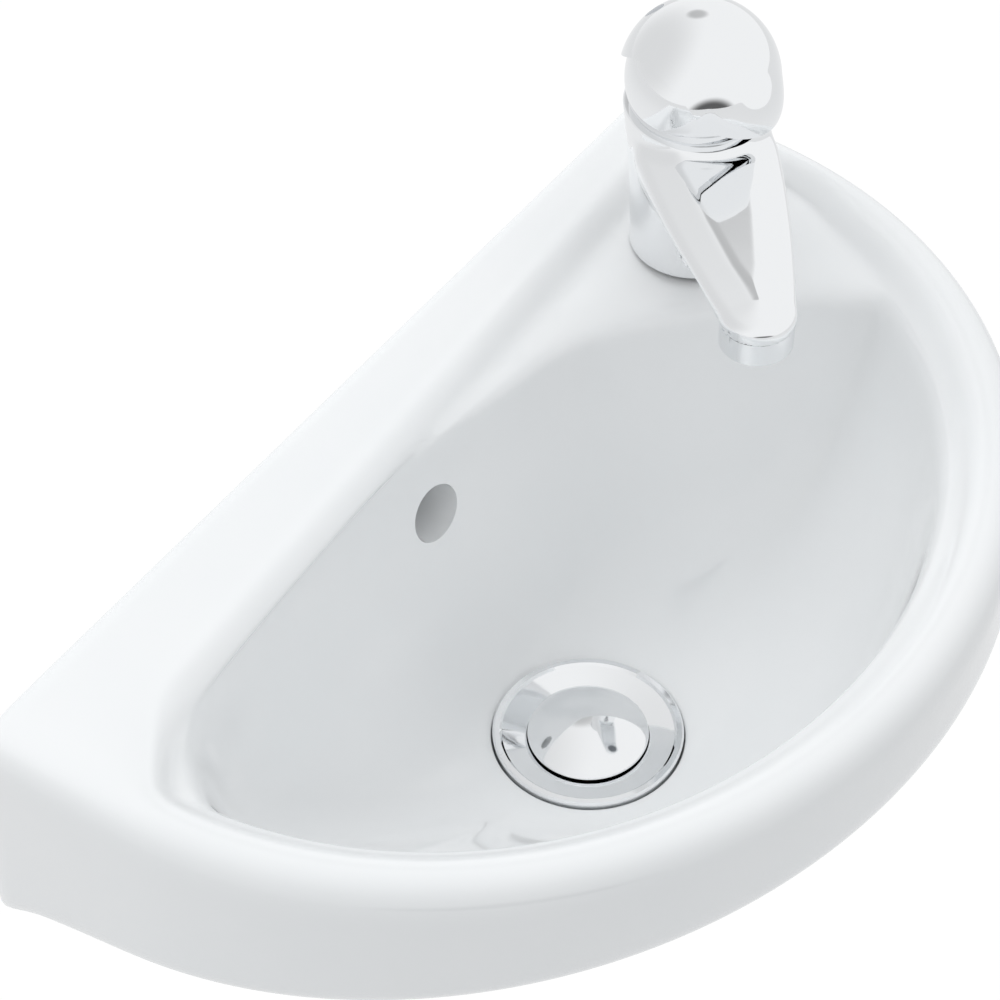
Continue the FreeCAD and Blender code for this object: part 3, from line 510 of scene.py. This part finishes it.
def lip(work, steps):
    """Grow an open edge inwards through (radius or None, inset, height) steps and close it."""
    for radius, inset, height in steps:
        grown = bmesh.ops.extrude_edge_only(work, edges=open_loop(work))["geom"]
        for vert in (piece for piece in grown if isinstance(piece, bmesh.types.BMVert)):
            reach = math.hypot(vert.co.x, vert.co.y)
            scale = (radius if radius else reach - inset) / reach
            vert.co = (vert.co.x * scale, vert.co.y * scale, height)
    bmesh.ops.holes_fill(work, edges=open_loop(work), sides=0)


def mixer_blank():
    """Rough column and spout in the tap's own frame, joined and cut into small faces."""
    blank = lathe("mixer_blank", [(0.01, -4), (21, -4), (22, 30), (24.6, 64), (0.01, 64)],
                  (0, 0), 64, None)
    points, rings, around = [], 30, 24
    for ahead in np.linspace(0, REACH + 12, rings):
        width = 24 - 11 * min(1, ahead / REACH) ** 1.75
        if ahead > REACH:
            width *= math.sqrt(max(0.02, 1 - ((ahead - REACH) / 12.6) ** 2))
        low = 20 + 33 * min(1, ahead / REACH / 0.8) ** 0.8
        for angle in np.linspace(0, 2 * math.pi, around, endpoint=False):
            points.append((width * math.cos(angle), ahead,
                           (60 + low) / 2 + (60 - low) / 2 * math.sin(angle)))
    last = (rings - 1) * around
    faces = grid_faces(rings, around) + [tuple(range(around)), tuple(range(last, last + around))]
    tongue = new_object("tongue_blank", mesh_from("tongue_blank", points, faces), None)
    joined = blank.modifiers.new("join", "BOOLEAN")
    joined.operation, joined.solver, joined.object = "UNION", "EXACT", tongue
    settle(blank)
    bpy.data.objects.remove(tongue)
    modifier = blank.modifiers.new("skin", "REMESH")
    modifier.mode = "VOXEL"
    modifier.voxel_size = 0.8 * MM
    settle(blank)
    return blank


def trim_column(work, level, keep_above):
    """Cut the column level at a height, leaving the spout's end as it is."""
    near = [face for face in work.faces if face.calc_center_median().y < 40]
    geometry = near + list({edge for face in near for edge in face.edges})
    geometry += list({vert for face in near for vert in face.verts})
    bmesh.ops.bisect_plane(work, geom=geometry, dist=1e-5, plane_co=(0, 0, level),
                           plane_no=(0, 0, 1), clear_outer=not keep_above,
                           clear_inner=keep_above)


def mixer():
    """Column and spout in one blended skin, with its socket, spigot and bores."""
    blank = mixer_blank()
    verts = np.array([tuple(vert.co) for vert in blank.data.vertices]) / MM
    work = bmesh.new()
    work.from_mesh(blank.data)
    bpy.data.objects.remove(blank)
    for vert, place in zip(work.verts, pulled_to(mixer_field, verts)):
        vert.co = place
    trim_column(work, TAP_TOP - 0.4, False)
    lip(work, [(None, 0.1, TAP_TOP - 0.12), (None, 0.35, TAP_TOP), (20.1, 0, TAP_TOP),
               (20.1, 0, TAP_TOP - 7), (18.7, 0, TAP_TOP - 7), (18.7, 0, TAP_TOP - 11),
               (17.5, 0, TAP_TOP - 11), (17.5, 0, TAP_TOP - 35)])
    trim_column(work, 0.9, True)
    lip(work, [(None, 0.1, 0.65), (None, 0.4, 0.5), (16, 0, 0.5), (16, 0, -3)])
    for vert in work.verts:
        vert.co = Vector(from_tap([tuple(vert.co)])[0]) * MM
    bmesh.ops.recalc_face_normals(work, faces=work.faces)
    mesh = bpy.data.meshes.new("mixer_casting")
    work.to_mesh(mesh)
    work.free()
    item = new_object("mixer_casting", mesh)
    # aerator's bore, the two inlets and the fixing stud's hole
    bores = [(0, REACH, 10.55, 50, 58.2), (-6.5, -6, 4.5, -4, 9), (6.5, -6, 4.5, -4, 9),
             (0, 11.5, 4.05, -4, 9)]
    rods = []
    for number, (across, ahead, radius, low, high) in enumerate(bores):
        ends = from_tap([(across, ahead, low), (across, ahead, high)])
        rods.append(rod("mixer_bore_%d" % number, radius, *ends))
    carve(item, rods)
    smooth_by_angle(item, 32)
    painted(item, chrome("mixer_chrome"))
    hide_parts("mixer_body")


def hood_shell(name, inset):
    """Closed surface of a ball drawn out into a smaller ball, the waist between filled."""
    work = bmesh.new()
    bmesh.ops.create_icosphere(work, subdivisions=6, radius=HOOD_R - inset)

    def field(place):
        near = np.linalg.norm(place, axis=1) - (HOOD_R - inset)
        far = np.linalg.norm(place + (0, NOSE_REACH, NOSE_DROP), axis=1) - (NOSE_R - inset)
        return soft_min(near, far, 2.5)
    places = pulled_to(field, np.array([tuple(vert.co) for vert in work.verts]))
    for vert, place in zip(work.verts, places):
        vert.co = (Vector(place) + Vector(BALL)) * MM
    mesh = bpy.data.meshes.new(name)
    work.to_mesh(mesh)
    work.free()
    return new_object(name, mesh, None)


def spline_through(points, count):
    """Points on a natural cubic spline through a few given ones."""
    knots = np.array(points, float)
    at = np.concatenate([[0], np.cumsum(np.hypot(*np.diff(knots, axis=0).T))])
    gap, size = np.diff(at), len(knots)
    matrix, right = np.eye(size), np.zeros((size, 2))
    slope = np.diff(knots, axis=0) / gap[:, None]
    for i in range(1, size - 1):
        matrix[i, i - 1:i + 2] = gap[i - 1], 2 * (gap[i - 1] + gap[i]), gap[i]
        right[i] = 6 * (slope[i] - slope[i - 1])
    bend = np.linalg.solve(matrix, right)
    out = []
    for t in np.linspace(0, at[-1], count):
        i = min(np.searchsorted(at, t, side="right") - 1, size - 2)
        a, b, h = at[i + 1] - t, t - at[i], gap[i]
        out.append((bend[i] * a ** 3 + bend[i + 1] * b ** 3) / (6 * h)
                   + (knots[i] / h - bend[i] * h / 6) * a
                   + (knots[i + 1] / h - bend[i + 1] * h / 6) * b)
    return out


def prism(name, outline, axis, low, high):
    """Cutter with a flat outline, run along the x or z axis from low to high."""
    order = {"x": (2, 0, 1), "z": (0, 1, 2)}[axis]
    points = []
    for level in (low, high):
        points += [tuple((a, b, level)[k] for k in order) for a, b in outline]
    count = len(outline)
    faces = grid_faces(2, count) + [tuple(range(count)), tuple(range(count, 2 * count))]
    return new_object(name, mesh_from(name, points, faces, False), None)


def hood():
    """Lever hood: a thin drawn-out ball with an arched rim and a screw hole behind."""
    shell = hood_shell("lever_cap", 0)
    # rim seen from the side, back to front, as shares of the ball's radius
    rim = [(1.49, -0.55), (0.92, 0.18), (0.30, 0.57), (-0.20, 0.44), (-0.53, 0.12),
           (-0.86, -0.22), (-1.49, -0.32)]
    outline = [(BALL[1] + HOOD_R * y, BALL[2] + HOOD_R * z) for y, z in spline_through(rim, 90)]
    outline += [(outline[-1][0], BALL[2] - 60), (outline[0][0], BALL[2] - 60)]
    below = prism("below_rim", outline, "x", BALL[0] - 45, BALL[0] + 45)
    screw = rod("screw_way", 2.95, (BALL[0], BALL[1] + 12, BALL[2] + SCREW_UP),
                (BALL[0], BALL[1] + 40, BALL[2] + SCREW_UP))
    carve(shell, [hood_shell("hood_hollow", HOOD_WALL), below, screw])
    smooth_by_angle(shell, 32)
    boss = lathe("hood_boss", [(3.6, 10.9), (6.1, 10.9), (6.5, 11.3), (6.5, 22), (7.4, 24.2),
                               (7.4, 24.6), (3.6, 24.6), (3.6, 10.9)], (0, 0), 48, "lever")
    moved_to_ball(boss)
    smooth_by_angle(boss, 32)
    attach(shell, "lever")
    for item in (shell, boss):
        painted(item, chrome(item.name + "_chrome"))
        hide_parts("lever_hood")


def shroud():
    """Ball-shaped cover under the hood with its skirt, turned finely enough to mirror well."""
    outer = HOOD_R - HOOD_WALL - 0.3
    inner, low, high = outer - 2.5, -10.0, 15.8
    rise = [math.asin((low + 0.4) / outer), math.asin((high - 0.4) / outer)]
    fall = [math.asin(high / inner), math.asin(-9.6 / inner)]
    profile = [(18.8, -17), (20, -17), (20, low), (22.3, low)]
    profile += [(outer * math.cos(a), outer * math.sin(a)) for a in np.linspace(*rise, 40)]
    profile += [(18.6, high)]
    profile += [(inner * math.cos(a), inner * math.sin(a)) for a in np.linspace(*fall, 24)]
    profile += [(20, -6), (18.8, -6), (18.8, -17)]
    item = lathe("shroud_ball", profile, (0, 0), 144)
    moved_to_ball(item)
    smooth_by_angle(item, 32)
    painted(item, chrome("shroud_chrome"))
    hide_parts("shroud")


# ------------------------------------------------------------------ plug
def plug():
    """Domed plug cap with a rounded edge that overlaps the throat of the waste."""
    low, top = [corner[2] for corner in node_box("plug_dome")]
    profile = [(0.4, low), (18.8, low), (19.2, low + 0.5), (19.2, low + 2.2)]
    profile += [(19.3 + math.sin(a), low + 3.2 - math.cos(a)) for a in np.linspace(0.2, 1.9, 7)]
    start = profile[-1][1]
    for share in np.linspace(0.985, 0.0, 26):
        profile.append((20.3 * share + 0.02, start + (top - start) * (1 - share ** 2.1)))
    item = lathe("plug_cap", profile, DRAIN, 96, "plug")
    painted(item, chrome("plug_cap_chrome", roughness=0.05))
    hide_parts("plug_dome")


# ------------------------------------------------------------------ materials
def shader(name, color, metallic=0.0, roughness=0.4, **sockets):
    """Principled material with plain values; returns it with its nodes and links."""
    material = bpy.data.materials.new(name)
    material.use_nodes = True
    nodes, links = material.node_tree.nodes, material.node_tree.links
    surface = nodes["Principled BSDF"]
    surface.inputs["Base Color"].default_value = (*color, 1)
    surface.inputs["Metallic"].default_value = metallic
    surface.inputs["Roughness"].default_value = roughness
    for key, value in sockets.items():
        surface.inputs[key.replace("_", " ")].default_value = value
    return material, nodes, links, surface


def object_noise(nodes, links, scale, detail):
    """Socket with noise over object space."""
    place = nodes.new("ShaderNodeTexCoord")
    noise = nodes.new("ShaderNodeTexNoise")
    noise.inputs["Scale"].default_value = scale
    noise.inputs["Detail"].default_value = detail
    links.new(place.outputs["Object"], noise.inputs["Vector"])
    return noise.outputs["Fac"]


def color_ramp(nodes, links, value, stops):
    """Socket with the colour that a ramp of two (position, colour) stops gives a value."""
    ramp = nodes.new("ShaderNodeValToRGB")
    for element, (position, color) in zip(ramp.color_ramp.elements, stops):
        element.position = position
        element.color = (*color, 1)
    links.new(value, ramp.inputs["Fac"])
    return ramp.outputs["Color"]


def scaled(nodes, links, value, factor, offset=0.0):
    """Socket with value * factor + offset, each of them a number or a socket."""
    node = nodes.new("ShaderNodeMath")
    node.operation = "MULTIPLY_ADD"
    for socket, source in zip(node.inputs, (value, factor, offset)):
        if isinstance(source, bpy.types.NodeSocket):
            links.new(source, socket)
        else:
            socket.default_value = source
    return node.outputs[0]


def mixed(nodes, links, share, first, second):
    """Socket with two shaders mixed."""
    node = nodes.new("ShaderNodeMixShader")
    for socket, source in zip(node.inputs, (share, first, second)):
        links.new(source, socket)
    return node.outputs["Shader"]


def add_bump(nodes, links, surface, scale, strength, distance):
    """Fine relief from object-space noise."""
    bump = nodes.new("ShaderNodeBump")
    bump.inputs["Strength"].default_value = strength
    bump.inputs["Distance"].default_value = distance
    links.new(object_noise(nodes, links, scale, 2.0), bump.inputs["Height"])
    links.new(bump.outputs["Normal"], surface.inputs["Normal"])


def add_mottle(nodes, links, surface, socket, scale, low, high):
    """Vary a colour or a number slowly over the surface with noise."""
    stops = [(0.35, low), (0.65, high)]
    if not isinstance(low, tuple):
        stops = [(position, (value,) * 3) for position, value in stops]
    color = color_ramp(nodes, links, object_noise(nodes, links, scale, 3.0), stops)
    links.new(color, surface.inputs[socket])


def glaze():
    """White vitreous glaze: glossy, with a slow waviness and a hint of colour drift."""
    material, nodes, links, surface = shader("white_glaze", (0.87, 0.885, 0.89),
                                             roughness=0.09, Coat_Weight=0.5,
                                             Coat_Roughness=0.03)
    add_mottle(nodes, links, surface, "Base Color", 14, (0.865, 0.88, 0.887),
               (0.885, 0.895, 0.90))
    add_bump(nodes, links, surface, 60, 0.02, 0.002)
    return material


def chrome(name, roughness=0.035):
    """Polished chrome plate with faint differences in its polish."""
    material, nodes, links, surface = shader(name, (0.89, 0.90, 0.91), 1.0, roughness)
    add_mottle(nodes, links, surface, "Roughness", 45, roughness * 0.8, roughness * 1.6)
    add_bump(nodes, links, surface, 90, 0.012, 0.001)
    return material


def rubber():
    """Matt black sealing rubber."""
    material, nodes, links, surface = shader("black_rubber", (0.03, 0.03, 0.032), 0.0, 0.7)
    add_bump(nodes, links, surface, 900, 0.25, 0.0003)
    return material


def plastic(name, color, roughness=0.45):
    """Moulded plastic or fired ceramic with a fine grain."""
    material, nodes, links, surface = shader(name, color, 0.0, roughness)
    add_bump(nodes, links, surface, 700, 0.12, 0.0002)
    add_mottle(nodes, links, surface, "Roughness", 120, roughness * 0.9, roughness * 1.1)
    return material


def machined(name, color):
    """Turned metal with a fine grain."""
    material, nodes, links, surface = shader(name, color, 1.0, 0.3)
    add_bump(nodes, links, surface, 1500, 0.15, 0.0002)
    add_mottle(nodes, links, surface, "Roughness", 200, 0.24, 0.36)
    return material


def dress_nodes():
    """Give every CAD node that stays visible the material of its slot."""
    finishes = {
        "glaze": glaze(), "waste_chrome": chrome("waste_chrome"),
        "plug_chrome": chrome("plug_chrome"), "tap_chrome": chrome("tap_chrome"),
        "seal_rubber": rubber(), "nut_plastic": plastic("nut_plastic", (0.72, 0.72, 0.70)),
        "barrel_plastic": plastic("barrel_plastic", (0.5, 0.51, 0.53)),
        "insert_plastic": plastic("insert_plastic", (0.30, 0.32, 0.35)),
        "cartridge_plastic": plastic("cartridge_plastic", (0.75, 0.75, 0.72), 0.35),
        "cap_plastic": plastic("cap_plastic", (0.35, 0.37, 0.40), 0.25),
        "disc_ceramic": plastic("disc_ceramic", (0.80, 0.78, 0.74), 0.15),
        "stem_brass": machined("stem_brass", (0.70, 0.53, 0.25)),
        "nut_brass": machined("nut_brass", (0.72, 0.55, 0.27)),
        "fastener_steel": machined("fastener_steel", (0.55, 0.56, 0.57)),
    }
    for entry in frame["record"]["subparts"]:
        painted(frame["nodes"][entry["node"]], finishes[entry["material_slot"]])


# ------------------------------------------------------------------ studio
def camera():
    """Camera at the photograph's place: 136.8 mm lens on a 36 mm sensor."""
    # turned from +x towards +y, and looking down
    turn, fall = math.radians(35.0), math.radians(46.6)
    forward = Vector((math.cos(turn) * math.cos(fall), math.sin(turn) * math.cos(fall),
                      -math.sin(fall)))
    right = Vector((math.sin(turn), -math.cos(turn), 0))
    up = right.cross(forward)
    data = bpy.data.cameras.new("camera")
    data.lens, data.sensor_width = 136.8, 36
    item = new_object("camera", data, None)
    place = Matrix((right, up, -forward)).transposed().to_4x4()
    place.translation = Vector((-688.2, -546.2, 931.6)) * MM
    item.matrix_world = place
    bpy.context.scene.camera = item


def area_light(name, place, size, energy):
    """Square lamp that faces the bowl and doesn't show in the chrome."""
    data = bpy.data.lights.new(name, "AREA")
    data.shape = "RECTANGLE"
    data.size = data.size_y = size
    data.energy = energy
    item = new_object(name, data, None)
    item.location = place
    item.rotation_mode = "QUATERNION"
    toward = Vector((0, -0.1, 0)) - Vector(place)
    item.rotation_quaternion = toward.to_track_quat("-Z", "Y")
    item.visible_glossy = False


def world():
    """Soft sky with the studio's darker corners, plain white where it is seen directly."""
    item = bpy.data.worlds.new("studio")
    bpy.context.scene.world = item
    item.use_nodes = True
    nodes, links = item.node_tree.nodes, item.node_tree.links
    nodes.clear()
    place = nodes.new("ShaderNodeTexCoord").outputs["Generated"]
    paths = nodes.new("ShaderNodeLightPath").outputs
    split = nodes.new("ShaderNodeSeparateXYZ")
    links.new(place, split.inputs["Vector"])
    height = scaled(nodes, links, split.outputs["Z"], 0.5, 0.5)
    sky = color_ramp(nodes, links, height, [(0.35, (0.44, 0.445, 0.45)),
                                            (0.75, (0.80, 0.81, 0.82))])
    light = 1.0
    # azimuth, elevation, full within, gone beyond (degrees) and how dark
    for azimuth, elevation, inner, outer, dark in ((228, -22, 22, 34, 0.88),
                                                   (38, 42, 4, 12, 0.40),
                                                   (110, 25, 10, 70, 0.20)):
        turn, rise = math.radians(azimuth), math.radians(elevation)
        toward = nodes.new("ShaderNodeVectorMath")
        toward.operation = "DOT_PRODUCT"
        toward.inputs[1].default_value = (math.cos(turn) * math.cos(rise),
                                          math.sin(turn) * math.cos(rise), math.sin(rise))
        links.new(place, toward.inputs[0])
        shade = nodes.new("ShaderNodeMapRange")
        shade.interpolation_type = "SMOOTHSTEP"
        shade.inputs["From Min"].default_value = math.cos(math.radians(outer))
        shade.inputs["From Max"].default_value = math.cos(math.radians(inner))
        shade.inputs["To Min"].default_value = 1.0
        shade.inputs["To Max"].default_value = 1.0 - dark
        links.new(toward.outputs["Value"], shade.inputs["Value"])
        light = scaled(nodes, links, shade.outputs["Result"], light)
    soft, mirrored, white = [nodes.new("ShaderNodeBackground") for _ in range(3)]
    links.new(sky, soft.inputs["Color"])
    mirrored.inputs["Color"].default_value = (0.96, 0.965, 0.97, 1)
    links.new(light, mirrored.inputs["Strength"])
    white.inputs["Color"].default_value = (1, 1, 1, 1)
    unseen = mixed(nodes, links, paths["Is Glossy Ray"], soft.outputs["Background"],
                   mirrored.outputs["Background"])
    everything = mixed(nodes, links, paths["Is Camera Ray"], unseen, white.outputs["Background"])
    links.new(everything, nodes.new("ShaderNodeOutputWorld").inputs["Surface"])


def floor():
    """Pale floor far below the hung basin; nearly white where it is seen or mirrored."""
    mesh = bpy.data.meshes.new("floor")
    size, level = 6.0, -0.75
    mesh.from_pydata([(-size, -size, level), (size, -size, level), (size, size, level),
                      (-size, size, level)], [], [(0, 1, 2, 3)])
    item = new_object("floor", mesh, None)
    material, nodes, links, surface = shader("pale_floor", (0.82, 0.82, 0.82), 0.0, 0.8)
    glow = nodes.new("ShaderNodeEmission")
    glow.inputs["Color"].default_value = (1, 1, 1, 1)
    glow.inputs["Strength"].default_value = 1.06
    paths = nodes.new("ShaderNodeLightPath").outputs
    seen = scaled(nodes, links, paths["Is Camera Ray"], 0.85)
    share = scaled(nodes, links, paths["Is Glossy Ray"], 0.35, seen)
    blend = mixed(nodes, links, share, surface.outputs["BSDF"], glow.outputs["Emission"])
    links.new(blend, nodes["Material Output"].inputs["Surface"])
    mesh.materials.append(material)


def studio():
    """Camera, sky, floor and two lamps."""
    bpy.context.scene.view_settings.view_transform = "Standard"
    camera()
    world()
    floor()
    area_light("key", (0.7, 0.65, 1.4), 1.1, 7.5)
    area_light("side", (-0.9, 0.7, 1.1), 0.8, 3.2)


# ------------------------------------------------------------------ build
studio()
dress_nodes()
basin()
mixer()
hood()
shroud()
plug()
